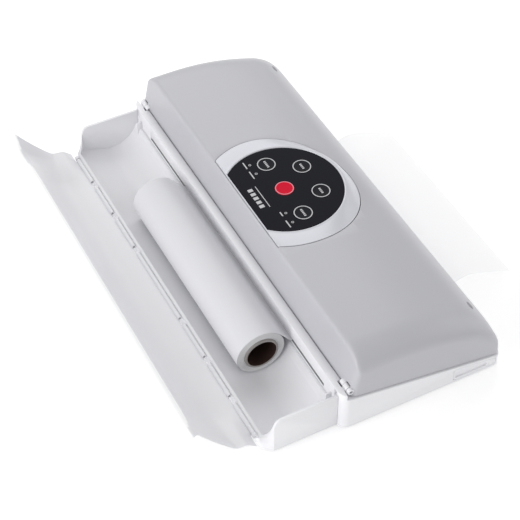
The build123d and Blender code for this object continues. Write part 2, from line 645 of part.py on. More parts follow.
# ---------------------------------------------------------------- control panel
def panel_bezel():
    """Raised ring round the panel, sloping down to the lid."""
    layer = d_shape(BEZEL_R, BEZEL_Y, PANEL_FLAT_Y, 40, 90) & along_x(lid_section(0, -0.5, 0), -70, 70)
    inner_r = PANEL_R + 2.2
    low = Plane.XY.offset(60.5) * d_face(BEZEL_R, BEZEL_Y)
    high = Plane.XY.offset(LID_TOP_Z + 0.6) * d_face(inner_r, PANEL_Y)
    mound = loft([low, high], ruled=True)
    ring_body = layer + mound
    ring_body = ring_body - d_shape(PANEL_R + 0.3, PANEL_Y, PANEL_FLAT_Y - 0.8, LID_TOP_Z - 1.8, 90)
    ring_body = ring_body - d_shape(PANEL_R - 4, PANEL_Y, PANEL_FLAT_Y - 5, 30, 90)
    return ring_body - along_x(lid_section(0, WALL, 0), -70, 70)


def d_face(r, yc):
    """The outline of a disc cut off at the panel's flat side."""
    half = math.sqrt(r * r - (PANEL_FLAT_Y - yc) ** 2)
    left, right = (-half, PANEL_FLAT_Y), (half, PANEL_FLAT_Y)
    return make_face(Line(left, right) + ThreePointArc(right, (0, yc - r), left))


def panel_overlay():
    """Black panel plate with holes for the buttons and lamps."""
    plate = d_shape(PANEL_R, PANEL_Y, PANEL_FLAT_Y - 1.1, LID_TOP_Z - 1.8, LID_TOP_Z)
    for x, y in BUTTONS.values():
        plate = plate - post(x, y, BUTTON_R + 0.3, 60, 90)
    for x, y in LAMPS:
        plate = plate - post(x, y, 1.25, 60, 90)
    return plate


def push_button(x, y):
    """Round key with a collar under the panel and a stem to its switch."""
    cap = post(x, y, BUTTON_R, LID_TOP_Z - 2.4, LID_TOP_Z + 0.6)
    cap = fillet(cap.edges().group_by(Axis.Z)[-1], 0.5)
    collar = post(x, y, BUTTON_R + 1.1, LID_TOP_Z - 3.2, LID_TOP_Z - 2.1)
    return cap + collar + post(x, y, 1.8, LID_TOP_Z - 4.6, LID_TOP_Z - 3.2)


BOARD_Z = LID_TOP_Z - 10.4


def control_board():
    """Board under the panel."""
    return box(-46, 46, -92, -30, BOARD_Z, BOARD_Z + 1.6)


def tact_switches():
    """One small switch under each key."""
    top = BOARD_Z + 1.6
    return [box(x - 3, x + 3, y - 3, y + 3, top, top + 2.4) + post(x, y, 1.6, top, LID_TOP_Z - 5.4)
            for x, y in BUTTONS.values()]


def lamp_lenses():
    """Small clear lenses in the panel, each on its own lamp."""
    return [post(x, y, 1.2, BOARD_Z + 1.6, LID_TOP_Z + 0.1) for x, y in LAMPS]


# ---------------------------------------------------------------- latches
FRAME_Z0, FRAME_Z1 = 6.5, 8.7
SPRING_X, SPRING_TURNS = 167.4, 5


def release_button(side):
    """Finger button in the end wall, with a frame round the latch hook."""
    skin = plan(0, 0, 30) - plan(2.3, -1, 31)
    face = release_window(side, 0) & skin
    y0, y1 = RELEASE_Y0 + 8, RELEASE_Y1 - 1.6
    x0, x1 = sorted((side * 193.7, side * 197.0))
    pocket = along_x([(y0, 5.6), (y1, 5.6), (y1, deck_z(y1) - 3.4), (y0, deck_z(y0) - 3.4)], x0, x1)
    face = face - fillet(pocket.edges().filter_by(Axis.X), 2.0)
    frame = mirror_box(side, 173, 193.4, HOOK_Y - 7.8, HOOK_Y + 7.0, FRAME_Z0, FRAME_Z1)
    window = mirror_box(side, 176.0, 188.2, HOOK_Y - 5.6, HOOK_Y + 4.4, 0, 20)
    return face + (frame - window)


def release_spring(side):
    """Coil spring behind the frame, drawn as a stack of turns on a thin spine."""
    spring = box(*sorted((side * SPRING_X, side * 173.0)), HOOK_Y - 0.3, HOOK_Y + 0.3, 9.3, 9.9)
    for i in range(SPRING_TURNS):
        x = side * (SPRING_X + 0.5 + i * 1.1)
        spring = spring + Pos(x, HOOK_Y, 7.6) * Rot(0, 90, 0) * Torus(2.0, 0.4)
    return spring


# ---------------------------------------------------------------- assembly
def base_nodes():
    nodes["base_shell"] = base_shell()
    nodes["bottom_cover"] = bottom_cover()
    nodes["base_feet"] = feet(FEET, FOOT_H + 1.0)
    nodes["bottom_screws"] = [Pos(x, y, FOOT_H - 0.6) * screw(2.9, 1.5, 1.3, 9) for x, y in BOTTOM_SCREWS]
    nodes["film_guide_bar"] = film_guide_bar()
    nodes["chamber_tray"] = chamber_tray()
    nodes["lower_gasket"] = lower_gasket()
    nodes["pressure_strip"] = pressure_strip()
    nodes["lid_hinge_pins"] = [rod(*LID_AXIS, LID_PIN_R, *sorted((s * 178.4, s * 191.0))) for _, s in SIDES]
    nodes["roll_tray"] = roll_tray()
    nodes["tray_feet"] = feet(TRAY_FEET, FOOT_H + 1.0)
    nodes["tray_screws"] = [Pos(x, -WALL - 1.4, 13) * Rot(-90, 0, 0) * screw(2.8, 1.4, 1.2, 6.5)
                            for x in TRAY_SCREWS]
    nodes["flap_pins"] = [rod(*FLAP_AXIS, FLAP_PIN_R, *sorted((s * 168.5, s * 177.4))) for _, s in SIDES]
    nodes["film_web"] = film_web()


def lid_nodes():
    nodes["lid_cover"] = lid_cover()
    nodes["lid_inner_plate"] = lid_inner_plate()
    nodes["lid_screws"] = [on_deck(Pos(x, v, PLATE_W0 - 0.4) * screw(2.9, 1.4, 1.3, 9)) for x, v in LID_SCREWS]
    nodes["upper_gasket"] = upper_gasket()
    nodes["heating_bar"] = heating_bar()
    nodes["heater_strip"] = heater_strip()
    nodes["heater_tape"] = heater_tape()
    nodes["intake_nozzle"] = intake_nozzle()
    nodes["air_hose"] = air_hose()
    nodes["pump_head"] = pump_head()
    nodes["pump_motor"] = pump_motor()
    nodes["pump_cradle"] = pump_cradle()
    nodes["transformer_core"] = transformer_core()
    nodes["transformer_coil"] = transformer_coil()
    nodes["power_board"] = power_board()
    nodes["board_parts"] = board_parts()
    nodes["power_inlet"] = power_inlet()
    nodes["inlet_pins"] = inlet_pins()
    nodes["panel_bezel"] = panel_bezel()
    nodes["panel_overlay"] = panel_overlay()
    nodes["control_board"] = control_board()
    nodes["tact_switches"] = tact_switches()
    nodes["lamp_lenses"] = lamp_lenses()
    for name, side in SIDES:
        nodes[f"latch_hook_{name}"] = latch_hook(side)


def moving_nodes():
    nodes["flap_door"] = flap_door()
    nodes["film_roll"] = film_roll()
    nodes["roll_core"] = roll_core()
    for name, (x, y) in BUTTONS.items():
        nodes[name] = push_button(x, y)
    for name, side in SIDES:
        nodes[f"release_button_{name}"] = release_button(side)
        nodes[f"release_spring_{name}"] = release_spring(side)


def write_nodes():
    """Puts the origin under the middle of the whole object and writes one file per piece."""
    os.makedirs("parts", exist_ok=True)
    solids = {}
    for name, shape in nodes.items():
        group = shape if isinstance(shape, list) else [shape]
        solids[name] = Compound([s for piece in group for s in piece.solids()])
    bounds = Compound(list(solids.values())).bounding_box()
    shift = Location((0, -(bounds.min.Y + bounds.max.Y) / 2, 0))
    for name, shape in solids.items():
        export_step(shape.moved(shift), f"parts/{name}.step")
    print("bounds", bounds.min, bounds.max, "shift in Y", shift.position.Y)


base_nodes()
lid_nodes()
moving_nodes()
write_nodes()
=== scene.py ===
import bisect
import json
import math
import random

import bmesh
import bpy
from mathutils import Matrix, Vector, noise
from mathutils.bvhtree import BVHTree


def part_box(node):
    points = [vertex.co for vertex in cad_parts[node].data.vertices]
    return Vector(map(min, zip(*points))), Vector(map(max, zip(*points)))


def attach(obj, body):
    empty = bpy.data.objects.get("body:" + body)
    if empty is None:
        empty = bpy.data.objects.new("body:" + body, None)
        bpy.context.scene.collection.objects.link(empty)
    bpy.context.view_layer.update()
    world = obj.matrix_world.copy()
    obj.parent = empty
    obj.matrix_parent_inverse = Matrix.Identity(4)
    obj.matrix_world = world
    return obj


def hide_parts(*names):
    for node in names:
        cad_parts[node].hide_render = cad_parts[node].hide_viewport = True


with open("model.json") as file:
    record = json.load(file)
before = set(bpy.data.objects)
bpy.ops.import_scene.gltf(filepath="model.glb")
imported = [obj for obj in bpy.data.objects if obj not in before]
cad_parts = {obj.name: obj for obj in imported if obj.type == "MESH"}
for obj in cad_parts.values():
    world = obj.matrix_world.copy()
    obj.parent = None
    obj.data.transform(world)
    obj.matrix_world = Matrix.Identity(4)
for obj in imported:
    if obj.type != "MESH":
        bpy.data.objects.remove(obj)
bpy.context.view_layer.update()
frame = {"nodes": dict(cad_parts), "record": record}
random.seed(11)

MM = 0.001
NODES = frame["nodes"]
REAR_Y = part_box("base_shell")[1].y       # the rear face of the body, which the sizes below count from


def at(x, y, z):
    """A point given in millimetres from the middle of the body's rear face, at table height."""
    return Vector((x * MM, y * MM + REAR_Y, z * MM))


# ---------------------------------------------------------------- camera
def make_camera():
    data = bpy.data.cameras.new("view")
    data.lens, data.sensor_width = 102.52, 36.0
    data.clip_start, data.clip_end = 0.01, 20.0
    cam = bpy.data.objects.new("view", data)
    bpy.context.collection.objects.link(cam)
    eye, target = at(-783.5, 376.8, 930.9), at(-27.85, -15.78, 30.0)
    cam.location = eye
    cam.rotation_euler = (target - eye).to_track_quat("-Z", "Y").to_euler()
    bpy.context.scene.camera = cam


make_camera()


# ---------------------------------------------------------------- materials
PATCHES, BLOTCHES = 14.0, 126.0          # scales of the clouds that vary the colour and the roughness
GLOSSIEST, DULLEST = 0.88, 1.14          # shares of a material's own roughness
RELIEF = 0.3 * MM                        # depth that a bump strength of 1 stands for


def material(name, colour, rough, spread=0.02, grain=900.0, bump=0.05, metal=0.0,
             alpha=1.0, dust=0.0, emboss=None, glow=0.0, spec=0.5):
    """A moulded or coated surface: faint patches of colour, uneven roughness and a fine grain."""
    mat = bpy.data.materials.new(name)
    mat.use_nodes = True
    tree = mat.node_tree
    shader = tree.nodes["Principled BSDF"]
    shader.inputs["Metallic"].default_value = metal
    shader.inputs["Specular IOR Level"].default_value = spec
    shader.inputs["Alpha"].default_value = alpha
    if glow:
        shader.inputs["Emission Color"].default_value = (*colour, 1)
        shader.inputs["Emission Strength"].default_value = glow
    coords = tree.nodes.new("ShaderNodeTexCoord")

    def cloud(scale, detail):
        node = tree.nodes.new("ShaderNodeTexNoise")
        node.inputs["Scale"].default_value = scale
        node.inputs["Detail"].default_value = detail
        tree.links.new(coords.outputs["Object"], node.inputs["Vector"])
        return node

    wide, mid, fine = cloud(PATCHES, 3), cloud(BLOTCHES, 4), cloud(grain, 2)
    tint = tree.nodes.new("ShaderNodeMix")
    tint.data_type = "RGBA"
    tint.inputs["A"].default_value = (*[max(c * (1 - spread), 0) for c in colour], 1)
    tint.inputs["B"].default_value = (*[min(c * (1 + spread), 1) for c in colour], 1)
    tree.links.new(wide.outputs["Fac"], tint.inputs["Factor"])
    speck = tree.nodes.new("ShaderNodeMix")
    speck.data_type = "RGBA"
    speck.blend_type = "MULTIPLY"
    speck.inputs["Factor"].default_value = 1.0
    shade = tree.nodes.new("ShaderNodeMapRange")
    shade.inputs["To Min"].default_value = 1.0 - dust
    tree.links.new(mid.outputs["Fac"], shade.inputs["Value"])
    tree.links.new(tint.outputs["Result"], speck.inputs["A"])
    tree.links.new(shade.outputs["Result"], speck.inputs["B"])
    tree.links.new(speck.outputs["Result"], shader.inputs["Base Color"])
    gloss = tree.nodes.new("ShaderNodeMapRange")
    gloss.inputs["To Min"].default_value = rough * GLOSSIEST
    gloss.inputs["To Max"].default_value = min(rough * DULLEST, 1.0)
    tree.links.new(mid.outputs["Fac"], gloss.inputs["Value"])
    tree.links.new(gloss.outputs["Result"], shader.inputs["Roughness"])
    height = lattice(tree, coords, emboss) if emboss else fine.outputs["Fac"]
    relief = tree.nodes.new("ShaderNodeBump")
    relief.inputs["Strength"].default_value = bump
    relief.inputs["Distance"].default_value = RELIEF
    tree.links.new(height, relief.inputs["Height"])
    tree.links.new(relief.outputs["Normal"], shader.inputs["Normal"])
    return mat


WAVES_PER_UNIT = 20                      # of a wave texture at a scale of 1


def lattice(tree, coords, pitch):
    """Height of a diamond pattern pressed into film, pitch metres apart."""
    parts = []
    for turn in (1, -1):
        wave = tree.nodes.new("ShaderNodeTexWave")
        wave.bands_direction = "X"
        wave.inputs["Scale"].default_value = 1 / (pitch * WAVES_PER_UNIT)
        place = tree.nodes.new("ShaderNodeMapping")
        place.inputs["Rotation"].default_value = (0, 0, turn * math.radians(45))
        tree.links.new(coords.outputs["Object"], place.inputs["Vector"])
        tree.links.new(place.outputs["Vector"], wave.inputs["Vector"])
        parts.append(wave.outputs["Fac"])
    both = tree.nodes.new("ShaderNodeMath")
    both.operation = "MAXIMUM"
    tree.links.new(parts[0], both.inputs[0])
    tree.links.new(parts[1], both.inputs[1])
    return both.outputs[0]


WHITE = material("white_plastic", (0.81, 0.81, 0.835), 0.34, spread=0.012, bump=0.05)
OFF_WHITE = material("off_white_plastic", (0.70, 0.70, 0.71), 0.5, spread=0.02, bump=0.08)
LID = material("lid_plastic", (0.475, 0.475, 0.505), 0.36, spread=0.012, bump=0.07, grain=1500)
LID_IN = material("lid_inside_plastic", (0.42, 0.42, 0.44), 0.55, spread=0.03, bump=0.1)
SILVER = material("silver_trim", (0.60, 0.605, 0.65), 0.30, spread=0.01, bump=0.02, metal=0.12, spec=0.35)
BLACK = material("panel_black", (0.0085, 0.009, 0.013), 0.22, spread=0.08, bump=0.01, spec=0.04)
KEY = material("key_black", (0.0095, 0.010, 0.014), 0.30, spread=0.08, bump=0.03, spec=0.06)
RED = material("key_red", (0.62, 0.004, 0.028), 0.34, spread=0.06, bump=0.03, spec=0.05)
PINK = material("key_red_ring", (0.72, 0.24, 0.30), 0.4, spread=0.04, bump=0.02, spec=0.3)
PRINT = material("print_grey", (0.52, 0.52, 0.54), 0.42, spread=0.04, bump=0.02, spec=0.3)
MARK = material("press_mark_grey", (0.26, 0.26, 0.28), 0.5, spread=0.05, bump=0.08)
LAMP = material("lamp_clear", (0.055, 0.055, 0.062), 0.2, spread=0.04, bump=0.02, spec=0.3)
# painted highlight: the flap's rim and end faces are whiter than the white plastic and glow faintly, standing
# in for the light they catch
RIM_PAINTED_HIGHLIGHT = material("rim_painted_highlight", (0.96, 0.96, 0.965), 0.25, spread=0.006, bump=0.02, glow=0.06)
STEEL = material("steel", (0.55, 0.55, 0.56), 0.32, spread=0.05, bump=0.06, metal=1.0)
RUBBER = material("rubber_black", (0.028, 0.028, 0.029), 0.72, spread=0.15, bump=0.2)
FOAM = material("gasket_foam", (0.10, 0.10, 0.11), 0.85, spread=0.15, bump=0.5, grain=1800)
DARK = material("black_plastic", (0.03, 0.03, 0.032), 0.5, spread=0.1, bump=0.12)
TAPE = material("heater_tape", (0.34, 0.24, 0.15), 0.42, spread=0.08, bump=0.3, grain=2200)
HOSE = material("hose_clear", (0.72, 0.72, 0.69), 0.25, spread=0.03, bump=0.03)
BOARD = material("board_green", (0.02, 0.15, 0.06), 0.4, spread=0.15, bump=0.15)
CHIPS = material("board_parts", (0.07, 0.09, 0.18), 0.45, spread=0.2, bump=0.1)
COPPER = material("copper_winding", (0.42, 0.17, 0.06), 0.35, spread=0.12, bump=0.4, grain=1500)
BRASS = material("pin_brass", (0.70, 0.52, 0.22), 0.22, spread=0.04, bump=0.03, metal=1.0)
FILM = material("film_clear", (0.84, 0.84, 0.86), 0.40, spread=0.01, bump=0.12, alpha=0.24, emboss=0.004,
                spec=0.3)
# painted light: the film between the roll and the slot is nearly opaque and glows faintly, filling the shade
# between the roll and the slot's upstand
FILM_PAINTED_LIGHT = material("film_painted_light", (0.63, 0.63, 0.655), 0.45, spread=0.01, bump=0.05, alpha=0.95, spec=0.3,
                     glow=0.11)
# painted shade: a dark grey on the film slot's floor, standing in for the shade deep inside the slot
SLOT_PAINTED_SHADE = material("slot_painted_shade", (0.24, 0.24, 0.25), 0.6, spread=0.03, bump=0.06)
WOUND = material("film_wound", (0.66, 0.66, 0.68), 0.50, spread=0.02, bump=0.10, emboss=0.003, spec=0.3)
WOUND_END = material("film_wound_end", (0.70, 0.70, 0.705), 0.45, spread=0.05, bump=0.12, dust=0.10)
# painted shade: the inside of the core tube is the same card as its ends, made near black to stand in for the
# shade in the bore
CORE_BORE_SHADE = material("core_card", (0.036, 0.019, 0.014), 0.85, spread=0.14, bump=0.35, dust=0.06, grain=700,
                spec=0.2)
CARD_END = material("core_card_end", (0.30, 0.28, 0.27), 0.80, spread=0.12, bump=0.35, dust=0.15, grain=900)
FLOOR = material("floor", (0.93, 0.93, 0.93), 0.9, spread=0.004, bump=0.0, glow=0.24)

LOOKS = {
    "white_shell": WHITE, "cover_grey_white": OFF_WHITE, "lid_grey": LID, "inner_grey": LID_IN,
    "silver_trim": SILVER, "panel_black": BLACK, "key_black": KEY, "key_red": RED, "lamp_clear": LAMP,
    "steel": STEEL, "rubber_black": RUBBER, "gasket_foam": FOAM, "black_plastic": DARK,
    "heater_tape": TAPE, "hose_clear": HOSE, "board_green": BOARD, "board_parts": CHIPS,
    "copper_winding": COPPER, "pin_brass": BRASS, "film_clear": FILM, "film_wound": WOUND, "core_card": CORE_BORE_SHADE,
}
for part in frame["record"]["subparts"]:
    mesh = NODES[part["node"]].data
    mesh.materials.clear()
    mesh.materials.append(LOOKS[part["material_slot"]])


# ---------------------------------------------------------------- mesh helpers
SHARP = 38.0                             # degrees: flatter edges are shaded smooth
WELD, WELD_CAD = 2e-7, 2e-6              # metres between points that become one
FLAT_ANGLE = 0.6                         # degrees between CAD faces that are joined into one


def piece(name, points, faces, mats, body, nodes=(), which=None, keep_sharp=SHARP):
    """A named mesh object riding on a body. which gives a material index for each face."""
    mesh = bpy.data.meshes.new(name)
    mesh.from_pydata([tuple(p) for p in points], [], faces)
    for m in mats:
        mesh.materials.append(m)
    if which:
        for face, index in zip(mesh.polygons, which):
            face.material_index = index
    obj = bpy.data.objects.new(name, mesh)
    bpy.context.collection.objects.link(obj)
    tidy_mesh(mesh, keep_sharp)
    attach(obj, body)
    if nodes:
        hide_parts(*nodes)
    return obj


def tidy_mesh(mesh, keep_sharp):
    """Welds, turns the faces outwards and shades them smooth up to an angle."""
    bm = bmesh.new()
    bm.from_mesh(mesh)
    bmesh.ops.remove_doubles(bm, verts=bm.verts, dist=WELD)
    bmesh.ops.recalc_face_normals(bm, faces=bm.faces)
    for face in bm.faces:
        face.smooth = True
    for edge in bm.edges:
        edge.smooth = not (len(edge.link_faces) == 2 and edge.calc_face_angle(0) > math.radians(keep_sharp))
    bm.to_mesh(mesh)
    bm.free()


def bake_modifiers(obj, keep_sharp=SHARP):
    """Leaves the object with its final mesh and no modifiers."""
    bpy.context.view_layer.update()
    shape = obj.evaluated_get(bpy.context.evaluated_depsgraph_get())
    mesh = bpy.data.meshes.new_from_object(shape)
    obj.modifiers.clear()
    obj.data = mesh
    tidy_mesh(mesh, keep_sharp)


def rows_to_faces(rows, ring=True, close=True):
    """Quads between rows of equal length. ring joins each row's ends, and close the last row to the first."""
    n, count = len(rows[0]), len(rows)
    faces = []
    for i in range(count if close else count - 1):
        a, b = i * n, (i + 1) % count * n
        for j in range(n if ring else n - 1):
            k = (j + 1) % n
            faces.append((a + j, b + j, b + k, a + k))
    return faces


def capped(rows, ring):
    """Points and faces of a skin over rows, with the first and the last row filled in."""
    n = len(rows[0])
    points = [p for row in rows for p in row]
    faces = rows_to_faces(rows, ring, close=False)
    faces += [tuple(range(n)), tuple(range(len(points) - n, len(points)))]
    return points, faces


def bevel(obj, width, angle=40.0, segments=2):
    """Rounds the edges that turn by more than angle degrees, by width millimetres."""
    mod = obj.modifiers.new("edges", "BEVEL")
    mod.width = width * MM
    mod.segments = segments
    mod.limit_method = "ANGLE"
    mod.angle_limit = math.radians(angle)
    mod.use_clamp_overlap = True


def turned(name, outline, centre, axis, mats, body, nodes=(), which=None, steps=72, wobble=None):
    """A body of revolution about Z or X. outline is a closed list of (radius, height), which a material
    index for each of its edges, and wobble(turn, height) what is added to the radius."""
    rows = []
    for r, h in outline:
        row = []
        for j in range(steps):
            t = 2 * math.pi * j / steps
            reach = r + (wobble(t, h) if wobble else 0.0)
            across = (reach * math.cos(t), reach * math.sin(t))
            offset = (*across, h) if axis == "Z" else (h, *across)
            row.append(at(*(c + o for c, o in zip(centre, offset))))
        rows.append(row)
    marks = [mark for mark in which or [0] * len(outline) for _ in range(steps)]
    piece(name, [p for row in rows for p in row], rows_to_faces(rows), mats, body, nodes, marks)


def softened(node, body, slot, width):
    """A copy of a CAD node with its hard moulded edges rounded."""
    mesh = NODES[node].data.copy()
    for layer in [a for a in mesh.attributes if a.name == "custom_normal"]:
        mesh.attributes.remove(layer)
    obj = bpy.data.objects.new(node + "_moulded", mesh)
    bpy.context.collection.objects.link(obj)
    bm = bmesh.new()
    bm.from_mesh(mesh)
    bmesh.ops.remove_doubles(bm, verts=bm.verts, dist=WELD_CAD)
    bmesh.ops.dissolve_limit(bm, angle_limit=math.radians(FLAT_ANGLE), verts=bm.verts, edges=bm.edges)
    bm.to_mesh(mesh)
    bm.free()
    mesh.materials.clear()
    mesh.materials.append(LOOKS[slot])
    bevel(obj, width)
    bake_modifiers(obj)
    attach(obj, body)
    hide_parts(node)
    return obj


def smoothstep(a, b, x):
    t = min(max((x - a) / (b - a), 0.0), 1.0)
    return t * t * (3 - 2 * t)


def arc3(a, b, c, n):
    """n + 1 points on the circle through a, b and c."""
    (x1, y1), (x2, y2), (x3, y3) = a, b, c
    d = 2 * (x1 * (y2 - y3) + x2 * (y3 - y1) + x3 * (y1 - y2))
    s1, s2, s3 = x1 * x1 + y1 * y1, x2 * x2 + y2 * y2, x3 * x3 + y3 * y3
    cx = (s1 * (y2 - y3) + s2 * (y3 - y1) + s3 * (y1 - y2)) / d
    cy = (s1 * (x3 - x2) + s2 * (x1 - x3) + s3 * (x2 - x1)) / d
    r = math.hypot(x1 - cx, y1 - cy)
    t1, t2, t3 = (math.atan2(q - cy, p - cx) for p, q in (a, b, c))
    turn = (t3 - t1) % (2 * math.pi)
    if (t2 - t1) % (2 * math.pi) > turn:
        turn -= 2 * math.pi
    turns = [t1 + turn * i / n for i in range(n + 1)]
    return [(cx + r * math.cos(t), cy + r * math.sin(t)) for t in turns]


def resample(points, step):
    """Points evenly spaced along a line of points."""
    total = [0.0]
    for p, q in zip(points, points[1:]):
        total.append(total[-1] + math.dist(p, q))
    n = max(2, round(total[-1] / step))
    out = []
    for i in range(n + 1):
        s = total[-1] * i / n
        k = min(max(bisect.bisect_right(total, s) - 1, 0), len(points) - 2)
        f = (s - total[k]) / max(total[k + 1] - total[k], 1e-9)
        out.append(tuple(a + (b - a) * f for a, b in zip(points[k], points[k + 1])))
    return out


def relax(points, rounds):
    """Rounds off the corners of a line, and leaves its ends."""
    for _ in range(rounds):
        points = [points[0]] + [tuple((a + 2 * b + c) / 4 for a, b, c in zip(p, q, r))
                                for p, q, r in zip(points, points[1:], points[2:])] + [points[-1]]
    return points


# ---------------------------------------------------------------- lid
SEAM_SLOPE = math.tan(math.radians(9.25))        # the deck and the seam above it rise to the rear
FRONT_Y, SEAM_FRONT_Z, DECK_FRONT_Z = -148.0, 12.7, 10.85
LID_TOP, LID_HALF, LID_WALL = 72.8, 193.6, 2.2
ROLL_START, ROLL_DROP = 168.0, 15.0              # where the top starts to fall to the ends, and how far
FRONT_R, REAR_R = 5.5, 6.0                       # upright corners, seen from above
REAR_RUN, REAR_RISE = 8.7, 37.3                  # lean of the rear face
LID_HINGE, HINGE_X = (-9.0, 40.0), 186.0         # its line as (y, z), and the middle of each hinge
PANEL_Y, PANEL_R = -53.0, 50.6                   # the black panel's disc
RING_Y, RING_R = -50.5, 65.9                     # the silver ring round it


def seam_z(y):
    """Height of the seam between the lid and the base."""
    return SEAM_FRONT_Z + (y - FRONT_Y) * SEAM_SLOPE


def deck_z(y):
    """Height of the base's deck, which the film lies over."""
    return DECK_FRONT_Z + (y - FRONT_Y) * SEAM_SLOPE


def lid_profile():
    """The lid's mid section from its rear lower edge over the top to its front lower edge, as (y, z)."""
    shoulder, chin = (-113.0, 60.1), (-147.0, 26.1)
    top = arc3((-36.0, LID_TOP), (-76.0, 69.65), shoulder, 30)
    nose = arc3(shoulder, (-135.4, 47.5), chin, 24)
    rear = [(-7.9, 35.5), (-15.8, LID_TOP), (-36.0, LID_TOP)]
    return relax(resample(rear + top[1:] + nose[1:] + [(FRONT_Y, SEAM_FRONT_Z)], 1.5), 5)


PROFILE = lid_profile()


def lid_top_z(y):
    """Height of the lid's top above a place on its middle."""
    best = 0.0
    for p, q in zip(PROFILE, PROFILE[1:]):
        lo, hi = sorted((p[0], q[0]))
        if lo <= y <= hi and hi > lo:
            best = max(best, p[1] + (q[1] - p[1]) * (y - p[0]) / (q[0] - p[0]))
    return best


def lid_stations():
    """(x, drop of the top) from one end of the lid to the other."""
    quarter = [(ROLL_START + (LID_HALF - ROLL_START) * math.sin(math.pi * k / 24),
                ROLL_DROP * (1 - math.cos(math.pi * k / 24))) for k in range(13)]
    middle = [(-168 + 14 * i, 0.0) for i in range(1, 24)]
    return [(-x, d) for x, d in reversed(quarter)] + middle + quarter


def lid_row(x, drop):
    """The lid's outline at x, where its top stands lower by drop."""
    side = abs(x)
    front_in = FRONT_R - math.sqrt(max(FRONT_R ** 2 - max(side - (LID_HALF - FRONT_R), 0) ** 2, 0))
    rear_in = REAR_R - math.sqrt(max(REAR_R ** 2 - max(side - (LID_HALF - REAR_R), 0) ** 2, 0))
    row = []
    for y, z in PROFILE:
        rise = min(max((z - seam_z(y)) / 38.0, 0), 1) ** 1.2
        lean = drop * rise * REAR_RUN / REAR_RISE * smoothstep(-50, -18, y)
        shift = lean + front_in * smoothstep(-92, -147, y) - rear_in * smoothstep(-42, -8, y)
        row.append(at(x, y + shift, z - drop * rise + shift * SEAM_SLOPE * (1 - rise)))
    return row


FLAT_STEPS, ARC_STEPS = 40, 120


def d_loop(r, yc, flat_y, z_of):
    """Points round a disc that is cut off straight at its rear, at the height that z_of gives for y."""
    half = math.sqrt(r * r - (flat_y - yc) ** 2)
    turn = math.atan2(flat_y - yc, half)
    sweep = math.pi + 2 * turn
    turns = [turn - sweep * i / ARC_STEPS for i in range(ARC_STEPS)]
    points = [(-half + 2 * half * i / FLAT_STEPS, flat_y) for i in range(FLAT_STEPS)]
    points += [(r * math.cos(t), yc + r * math.sin(t)) for t in turns]
    return [at(x, y, z_of(y)) for x, y in points]


def box_points(lo, hi):
    """The corners of a box, in the order that BOX_FACES counts them."""
    return [at(x, y, z) for x in (lo[0], hi[0]) for y in (lo[1], hi[1]) for z in (lo[2], hi[2])]


BOX_FACES = [(0, 1, 3, 2), (4, 6, 7, 5), (0, 4, 5, 1), (2, 3, 7, 6), (0, 2, 6, 4), (1, 5, 7, 3)]


def cutter(parts):
    """One mesh of several closed shapes, for cutting."""
    mesh = bpy.data.meshes.new("cutter")
    points, faces = [], []
    for pts, fcs in parts:
        faces += [tuple(i + len(points) for i in f) for f in fcs]
        points += pts
    mesh.from_pydata([tuple(p) for p in points], [], faces)
    tidy_mesh(mesh, 30)
    obj = bpy.data.objects.new("cutter", mesh)
    bpy.context.collection.objects.link(obj)
    return obj


def prism(loop_low, loop_high):
    """Points and faces of the closed shape between two loops."""
    n = len(loop_low)
    faces = [tuple(range(n)), tuple(range(2 * n - 1, n - 1, -1))]
    faces += [(i, (i + 1) % n, n + (i + 1) % n, n + i) for i in range(n)]
    return loop_low + loop_high, faces


def knuckle(name, lo, hi, bore_r, r, chamfer, hinge, body, steps):
    """A hinge tube from lo to hi along X, with chamfered ends."""
    outside = [(r - chamfer, lo), (r, lo + chamfer), (r, hi - chamfer), (r - chamfer, hi)]
    turned(name, [(bore_r, lo), *outside, (bore_r, hi)], (0, *hinge), "X", [WHITE], body,
           steps=steps)


def make_lid():
    """The lid's shell, cut out for the hinges, the power inlet and the panel, and its hinge knuckles."""
    points, faces = capped([lid_row(x, d) for x, d in lid_stations()], ring=False)
    lid = piece("lid_cover_shell", points, faces, [LID], "lid", ["lid_cover"])
    wall = lid.modifiers.new("wall", "SOLIDIFY")
    wall.thickness = LID_WALL * MM
    wall.offset = -1
    wall.use_even_offset = False
    notches = [(box_points((x - 2.8, -13.6, 28), (x + 2.8, 2, 44.6)), BOX_FACES)
               for x in (-HINGE_X, HINGE_X)]
    socket = (box_points((186, -63.2, 38.8), (200, -40.8, 53.2)), BOX_FACES)
    low, high = (d_loop(RING_R + 0.8, RING_Y, -16.6, lambda y: z) for z in (50, 90))
    tool = cutter(notches + [socket, prism(low, high)])
    cut = lid.modifiers.new("cut", "BOOLEAN")
    cut.object = tool
    cut.solver = "EXACT"
    bevel(lid, 0.35, 50)
    bake_modifiers(lid, 35)
    bpy.data.objects.remove(tool)
    for side, letter in ((-1, "l"), (1, "r")):
        for a, b in ((178.3, 183.2), (188.8, 192.0)):
            lo, hi = sorted((side * a, side * b))
            knuckle(f"lid_knuckle_{letter}{int(a)}", lo, hi, 1.6, 2.9, 0.35, LID_HINGE, "lid", 40)
    return lid


lid = make_lid()


